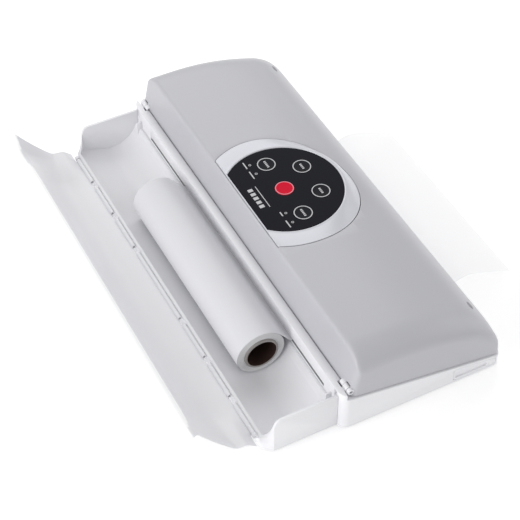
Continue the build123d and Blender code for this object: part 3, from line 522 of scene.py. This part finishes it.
def make_bezel():
    """Silver ring between the black panel and the lid, nearly flat at its sides and steep at the front."""
    inner = d_loop(52.4, PANEL_Y, -17.45, lambda y: 73.1)
    outer = d_loop(RING_R, RING_Y, -17.2, lambda y: lid_top_z(y) + 0.35)
    rows = [
        d_loop(PANEL_R, PANEL_Y, -18.0, lambda y: 71.0),
        d_loop(PANEL_R, PANEL_Y, -18.0, lambda y: 72.75),
        d_loop(50.9, PANEL_Y, -17.8, lambda y: 73.15),
        d_loop(51.6, PANEL_Y, -17.6, lambda y: 73.35),
        inner,
    ]
    steps = 14
    middle = at(0, RING_Y, 0)
    for i in range(1, steps):
        t = i / steps
        bow = 0.22 * math.sin(math.pi * t)
        rows.append([a.lerp(b, t) + Vector((0, 0, (b.z - a.z) * (t ** 1.25 - t) + bow * MM))
                     for a, b in zip(inner, outer)])
    rows.append(outer)
    rows.append([p + Vector((0, 0, -0.25 * MM)) + Vector((p.x, p.y - middle.y, 0)).normalized() * 0.22 * MM
                 for p in outer])
    rows.append([p + Vector((0, 0, -2.4 * MM)) for p in outer])
    points = [p for row in rows for p in row]
    piece("panel_bezel_ring", points, rows_to_faces(rows), [SILVER], "lid", ["panel_bezel"],
          keep_sharp=32)


make_bezel()


# ---------------------------------------------------------------- keys and printing
KEYS = {"seal_button": (32.7, -53.3), "pulse_button": (16.7, -78.9), "food_button": (-16.7, -78.9),
        "vacuum_button": (-32.7, -53.3), "stop_button": (0.0, -53.3)}
LAMPS = [(38.3, -40.4), (26.5, -40.4), (-26.5, -40.4), (-38.3, -40.4)]
NEAR_AXIS = 0.01                         # radius at the middle of a round piece
KEY_OUTLINE = [(NEAR_AXIS, 73.04), (2.5, 73.05), (5.0, 73.10), (6.7, 73.17), (7.05, 73.20), (7.15, 73.27),
               (7.75, 73.27), (7.95, 73.18), (8.08, 72.95), (8.1, 71.2), (8.1, 70.7), (9.1, 70.6),
               (9.1, 69.7), (8.9, 69.6), (1.8, 69.6), (1.8, 68.3), (1.5, 68.2), (NEAR_AXIS, 68.2)]
KEY_RING = (4, 5, 6)                     # the outline's edges that make the raised ring
KEY_MARK_Z, PRINT_Z = 73.19, 72.86       # tops of the marks on the keys and on the panel


def bars(name, boxes, z, body, thick=0.05):
    """Flat printed marks, each (x, y, length along X, width along Y)."""
    points, faces = [], []
    for x, y, length, width in boxes:
        base = len(points)
        points += box_points((x - length / 2, y - width / 2, z - thick), (x + length / 2, y + width / 2, z))
        faces += [tuple(i + base for i in f) for f in BOX_FACES]
    obj = piece(name, points, faces, [PRINT], body)
    bevel(obj, 0.18, 60, 3)
    bake_modifiers(obj)


def make_keys():
    """Round keys, each with a raised ring and a row of blocks in place of a word."""
    for name, (x, y) in KEYS.items():
        red = name == "stop_button"
        body = name.replace("_button", "_key")
        which = [int(i in KEY_RING) for i in range(len(KEY_OUTLINE))]
        mats, slot = ([RED, PINK], "key_red") if red else ([KEY, PRINT], "key_black")
        turned(name + "_cap", KEY_OUTLINE, (x, y, 0), "Z", mats, body, [name], which, steps=96)
        if red:
            continue
        count = 4 if name in ("pulse_button", "food_button") else 5
        first = x - 0.9 * (count - 1)
        bars(name + "_mark", [(first + 1.8 * i, y, 1.25, 1.9) for i in range(count)], KEY_MARK_Z, body)


def make_lamps():
    """Lamp lenses, each a dark dome in a pale ring."""
    outline = [(NEAR_AXIS, 73.0), (0.45, 72.98), (0.75, 72.93), (0.8, 72.97), (1.12, 72.97), (1.19, 72.9),
               (1.19, 64.0), (NEAR_AXIS, 64.0)]
    for i, (x, y) in enumerate(LAMPS):
        turned(f"panel_lamp_{i}", outline, (x, y, 0), "Z", [LAMP, PRINT], "lid",
               ["lamp_lenses"], [0, 0, 1, 1, 1, 0, 0, 0], steps=40)


make_keys()
make_lamps()
bars("panel_lamp_labels", [(39.5, -36.4, 8.4, 1.1), (26.6, -36.3, 9.6, 1.1), (-25.9, -36.6, 5.2, 1.1),
                           (-38.5, -36.3, 8.6, 1.1)], PRINT_Z, "lid")
bars("panel_level_marks", [(-10.4 + 5.2 * i, -26.6, 3.4, 4.4) for i in range(5)] + [(-0.4, -32.4, 27.0, 0.7)],
     PRINT_Z, "lid")


def make_grip_marks(lid):
    """Small oval pads on the lid's front corners, where the lid is pressed shut."""
    outline = [(NEAR_AXIS, 0.08), (1.1, 0.06), (1.5, 0.20), (1.8, 0.24), (2.0, 0.14), (2.1, -0.5),
               (NEAR_AXIS, -0.5)]
    stretch, steps = 2.1, 48
    bpy.context.view_layer.update()
    tree = BVHTree.FromObject(lid, bpy.context.evaluated_depsgraph_get())
    for name, x in (("right", 166.0), ("left", -166.0)):
        hit, normal, _, _ = tree.ray_cast(at(x, -132, 120), Vector((0, 0, -1)))
        side = normal.cross(Vector((1, 0, 0))).normalized()
        turn = Matrix((side.cross(normal), side, normal)).transposed().to_4x4()
        place = Matrix.Translation(hit) @ turn
        turns = [2 * math.pi * j / steps for j in range(steps)]
        rows = [[place @ Vector((r * stretch * math.cos(t) * MM, r * math.sin(t) * MM, h * MM))
                 for t in turns] for r, h in outline]
        piece("lid_press_mark_" + name, [p for row in rows for p in row], rows_to_faces(rows, close=False),
              [MARK], "lid")


make_grip_marks(lid)


# ---------------------------------------------------------------- base, tray and flap
SLOT_FRONT, SLOT_BACK = -2.1, 0.1
SLOT_FLOOR_Z, SLOT_HALF = 24.2, 167.0


def darken_slot(shell):
    """Gives the floor of the film slot a painted shade: a darker material stands in for how little light
    reaches it.
    """
    shell.data.materials.append(SLOT_PAINTED_SHADE)
    for face in shell.data.polygons:
        x, y, z = face.center.x / MM, (face.center.y - REAR_Y) / MM, face.center.z / MM
        if abs(x) < SLOT_HALF and SLOT_FRONT < y < SLOT_BACK and abs(z - SLOT_FLOOR_Z) < 0.3:
            face.material_index = 1


darken_slot(softened("base_shell", "base", "white_shell", 0.45))
for node, body, width in (("roll_tray", "base", 0.45), ("film_guide_bar", "base", 0.35),
                          ("release_button_left", "release_left", 0.3),
                          ("release_button_right", "release_right", 0.3)):
    softened(node, body, "white_shell", width)

FLAP_HALF = 185.4
FLAP_HINGE = (65.8, 13.0)                # its line, as (y, z)
# x, how far the dish has run out there, and how far the corner has risen
FLAP_KEYS = [(148.0, 0.0, 0.0), (158.0, 0.3, 0.0), (171.0, 0.7, 0.0), (177.5, 0.86, 0.16),
             (FLAP_HALF, 1.0, 1.0)]
# both edges of the lip along the flap's middle, and at its corners
LIP_IN, LIP_OUT = (112.6, 37.0), (118.0, 39.4)
CORNER_IN, CORNER_OUT = (117.0, 56.5), (119.6, 56.0)


def blend2(a, b, k):
    """The point a share k of the way from a to b."""
    return tuple(p + (q - p) * k for p, q in zip(a, b))


def bowed(a, b, sag):
    """The middle of the line from a to b, moved sideways by sag."""
    run, rise = b[0] - a[0], b[1] - a[1]
    size = math.hypot(run, rise)
    return ((a[0] + b[0]) / 2 + sag * rise / size, (a[1] + b[1]) / 2 - sag * run / size)


def flap_state(x):
    """How far the dish has run out and how far the corner has risen at x."""
    side = min(max(abs(x), FLAP_KEYS[0][0]), FLAP_HALF)
    for (x0, f0, t0), (x1, f1, t1) in zip(FLAP_KEYS, FLAP_KEYS[1:]):
        if side <= x1:
            k = (side - x0) / (x1 - x0)
            return f0 + (f1 - f0) * k, t0 + (t1 - t0) * k
    return 1.0, 1.0


def flap_row(x):
    """The flap's section at x: its inner face out to the lip, over the lip and back under to the hinge."""
    flat, tip = flap_state(x)
    lip, lip_out = blend2(LIP_IN, CORNER_IN, tip), blend2(LIP_OUT, CORNER_OUT, tip)
    near, near_out = (86.0, 13.2 + 6.4 * flat), (86.6, 11.0 + 6.4 * flat)
    hip, hip_out = (76.0, 12.7 + 5.8 * flat), (76.4, 11.2 + 5.4 * flat)
    trim = smoothstep(173.0, 174.0, abs(x)) * 1.6
    root, root_out = (67.2 + trim, 12.3), (66.6 + trim, 11.4)
    dish = arc3(near, bowed(near, lip, 4.5 - 3.5 * flat), lip, 24)
    dish_out = arc3(lip_out, bowed(near_out, lip_out, 6.0 - 3.6 * flat), near_out, 24)
    inner = even(relax(resample([root, hip, *dish], 1.2), 4), 44)
    outer = even(relax(resample([*dish_out, hip_out, root_out], 1.2), 4), 44)
    edge = [blend2(lip, lip_out, k) for k in (0.12, 0.35, 0.65, 0.88)]
    swell = [0.25, 0.5, 0.5, 0.25]
    edge = [(p[0] - 0.35 * s, p[1] + s) for p, s in zip(edge, swell)]
    return [at(x, y, z) for y, z in inner + edge + outer]


def even(points, n):
    """n points spread evenly along a line."""
    line = resample(points, max(sum(math.dist(p, q) for p, q in zip(points, points[1:])) / (n - 1), 0.01))
    return line[:n] if len(line) >= n else line + [line[-1]] * (n - len(line))


def make_flap():
    """The flap's dished panel with a painted highlight on its rim and end faces, and the row of knuckles
    along its hinge.
    """
    middle = [-148 + 14.8 * i for i in range(21)]
    side = [FLAP_HALF, 185.0, 184.2, 183.0, 181.5, 180.0, 178.5, 177.0, 175.5, 174.1, 172.9, 170.5, 167, 163,
            159, 155, 151.5]
    points, faces = capped([flap_row(x) for x in [-s for s in side] + middle + side[::-1]], ring=True)
    flap = piece("flap_door_panel", points, faces, [WHITE], "flap", ["flap_door"],
                 keep_sharp=45)
    bevel(flap, 0.3, 55)
    bake_modifiers(flap, 42)
    flap.data.materials.append(RIM_PAINTED_HIGHLIGHT)
    # painted highlight: the up-facing faces of the rim and the end faces take the brighter, faintly glowing
    # material
    for face in flap.data.polygons:
        y = (face.center.y - REAR_Y) / MM
        rim = y > 111.8 + 4.0 * smoothstep(144, 172, abs(face.center.x) / MM) and face.normal.z > 0.15
        if rim or abs(face.normal.x) > 0.9:
            face.material_index = 1
    spans = [(-173.9, -141), (-133, -96), (-88, -50), (-42, 42), (50, 88), (96, 133), (141, 173.9)]
    for i, (a, b) in enumerate(spans):
        knuckle(f"flap_knuckle_{i}", a, b, 1.06, 1.7, 0.3, FLAP_HINGE, "flap", 32)


make_flap()


# ---------------------------------------------------------------- film
ROLL = (28.0, 25.0)                      # the roll's middle, as (y, z)
ROLL_R, CORE_R, BORE_R = 21.2, 15.0, 12.7
X0, X1 = -114.0, 86.0                    # the ends of the wound film
WOUND_TURNS = 16
FILM_WIDTH, FILM_STEPS = (X1 - X0) * MM, 90
PATH_RISE = 1.4                          # height of the film over the deck, where it crosses the gaskets


def make_roll():
    """Wound film: a slightly uneven surface, and turns that stand in and out at the ends."""
    end0, end1 = [], []
    for i in range(WOUND_TURNS + 1):
        r = CORE_R + 0.12 + (ROLL_R - 0.5 - CORE_R) * i / WOUND_TURNS
        end0.append((r, X0 + 0.05 + 0.30 * (i % 2) + 0.12 * random.random()))
        end1.append((r, X1 - 0.05 - 0.30 * (i % 2) - 0.12 * random.random()))
    skin = [(ROLL_R - 0.12, X0 + 0.35)]
    skin += [(ROLL_R - 0.05, X0 + 2 + (X1 - X0 - 4) * i / 60) for i in range(61)]
    skin += [(ROLL_R - 0.12, X1 - 0.35)]
    outline = end0 + skin + end1[::-1]
    which = [1] * WOUND_TURNS + [0] * (len(skin) + 1) + [1] * (WOUND_TURNS + 1)

    def wobble(t, h):
        place = Vector((h * 0.02, math.cos(t) * 0.9, math.sin(t) * 0.9))
        return min(0.0, -0.09 + 0.13 * noise.noise(place))

    turned("film_roll_wound", outline, (0, *ROLL), "X", [WOUND, WOUND_END], "roll",
           ["film_roll"], which, steps=128, wobble=wobble)


make_roll()


def make_core():
    """Cardboard tube wound from strip, with a shallow spiral seam inside, a near-black painted shade in its
    bore, and worn ends.
    """
    a, b = X0 - 1.5, X1 + 1.5
    outline = [(BORE_R + 0.3, a), (CORE_R - 0.35, a), (CORE_R - 0.05, a + 0.35), (CORE_R - 0.05, b - 0.35),
               (CORE_R - 0.35, b), (BORE_R + 0.3, b)]
    outline += [(BORE_R + 0.05, b - 0.4 - (b - a - 0.8) * i / 110) for i in range(111)]

    def seam(t, h):
        turn = (h / 62.0 - t / (2 * math.pi)) % 1.0
        return 0.08 * (1 - smoothstep(0.0, 0.035, min(turn, 1 - turn)))

    # the bore takes the near-black painted shade, the outside and the ends the card's own colour
    which = [1] * 5 + [0] * (len(outline) - 5)
    turned("roll_core_tube", outline, (0, *ROLL), "X", [CORE_BORE_SHADE, CARD_END], "roll",
           ["roll_core"], which, steps=96, wobble=seam)


make_core()


def film_path():
    """The film's line round the roll, through the slot and over the deck to its free edge."""
    wrap_r = ROLL_R + 0.3
    turns = [math.radians(a) for a in range(-36, 141, 4)]
    wrap = [(ROLL[0] + wrap_r * math.cos(t), ROLL[1] + wrap_r * math.sin(t)) for t in turns]
    inside = [(1.2, 25.5), (-1.0, 24.95), (-2.6, 25.4), (-12.4, deck_z(-12.4) + 0.6),
              (-14.6, deck_z(-14.6) + 1.1), (-20.0, deck_z(-20) + PATH_RISE),
              (-148.5, DECK_FRONT_Z + PATH_RISE)]
    out = [(-155.0, 14.7), (-162.0, 17.7), (-170.0, 17.9), (-182.0, 14.1), (-198.0, 7.5), (-213.0, 1.0)]
    return relax(resample(wrap + inside + out, 1.6), 3)


def make_film():
    """The film as one sheet, waved where it hangs free past the base's front, with painted light on its part
    between the roll and the slot.
    """
    path = film_path()
    rows = []
    for y, z in path:
        free = smoothstep(-152, -185, y)
        row = []
        for j in range(FILM_STEPS + 1):
            x = X0 + (X1 - X0) * j / FILM_STEPS
            wave = noise.noise(Vector((x * 0.018, y * 0.03, 4.2))) * 0.7 + 0.35 * math.sin(x * 0.055 + 1.0)
            lift = free * wave * (0.35 + 0.65 * smoothstep(-213, -190, y))
            row.append(at(x, y, max(z + lift, 0.5)))
        rows.append(row)
    points, faces = [p for row in rows for p in row], rows_to_faces(rows, ring=False, close=False)
    film = piece("film_web_sheet", points, faces, [FILM, FILM_PAINTED_LIGHT], "base", ["film_web"])
    before_slot = at(0, -0.5, 0).y
    # painted light: faces behind the slot take the opaque, faintly glowing film material
    for face in film.data.polygons:
        face.material_index = int(face.center.y > before_slot)


make_film()


# ---------------------------------------------------------------- stage and light
def make_stage():
    mesh = bpy.data.meshes.new("floor")
    mesh.from_pydata([(-6, -6, 0), (6, -6, 0), (6, 6, 0), (-6, 6, 0)], [], [(0, 1, 2, 3)])
    mesh.materials.append(FLOOR)
    floor = bpy.data.objects.new("floor", mesh)
    bpy.context.collection.objects.link(floor)


def area_light(name, place, target, size, power):
    data = bpy.data.lights.new(name, "AREA")
    data.shape, data.size, data.energy = "SQUARE", size, power
    obj = bpy.data.objects.new(name, data)
    bpy.context.collection.objects.link(obj)
    obj.location = place
    obj.rotation_euler = (target - obj.location).to_track_quat("-Z", "Y").to_euler()


def make_light():
    """A bright room, with a soft key from behind the machine and weaker lights from its front and far end."""
    world = bpy.data.worlds.new("studio")
    world.use_nodes = True
    back = world.node_tree.nodes["Background"]
    back.inputs["Color"].default_value = (1.0, 1.0, 1.0, 1)
    back.inputs["Strength"].default_value = 0.62
    bpy.context.scene.world = world
    middle = at(0, -20, 30)
    area_light("key", middle + Vector((-0.25, 1.38, 0.50)), middle, 1.0, 12.5)
    area_light("side", middle + Vector((1.05, -0.45, 0.9)), middle, 1.1, 6.0)
    area_light("low", middle + Vector((-0.35, -1.4, 0.6)), middle, 1.1, 4.5)
    bpy.context.scene.view_settings.view_transform = "Standard"


make_stage()
make_light()
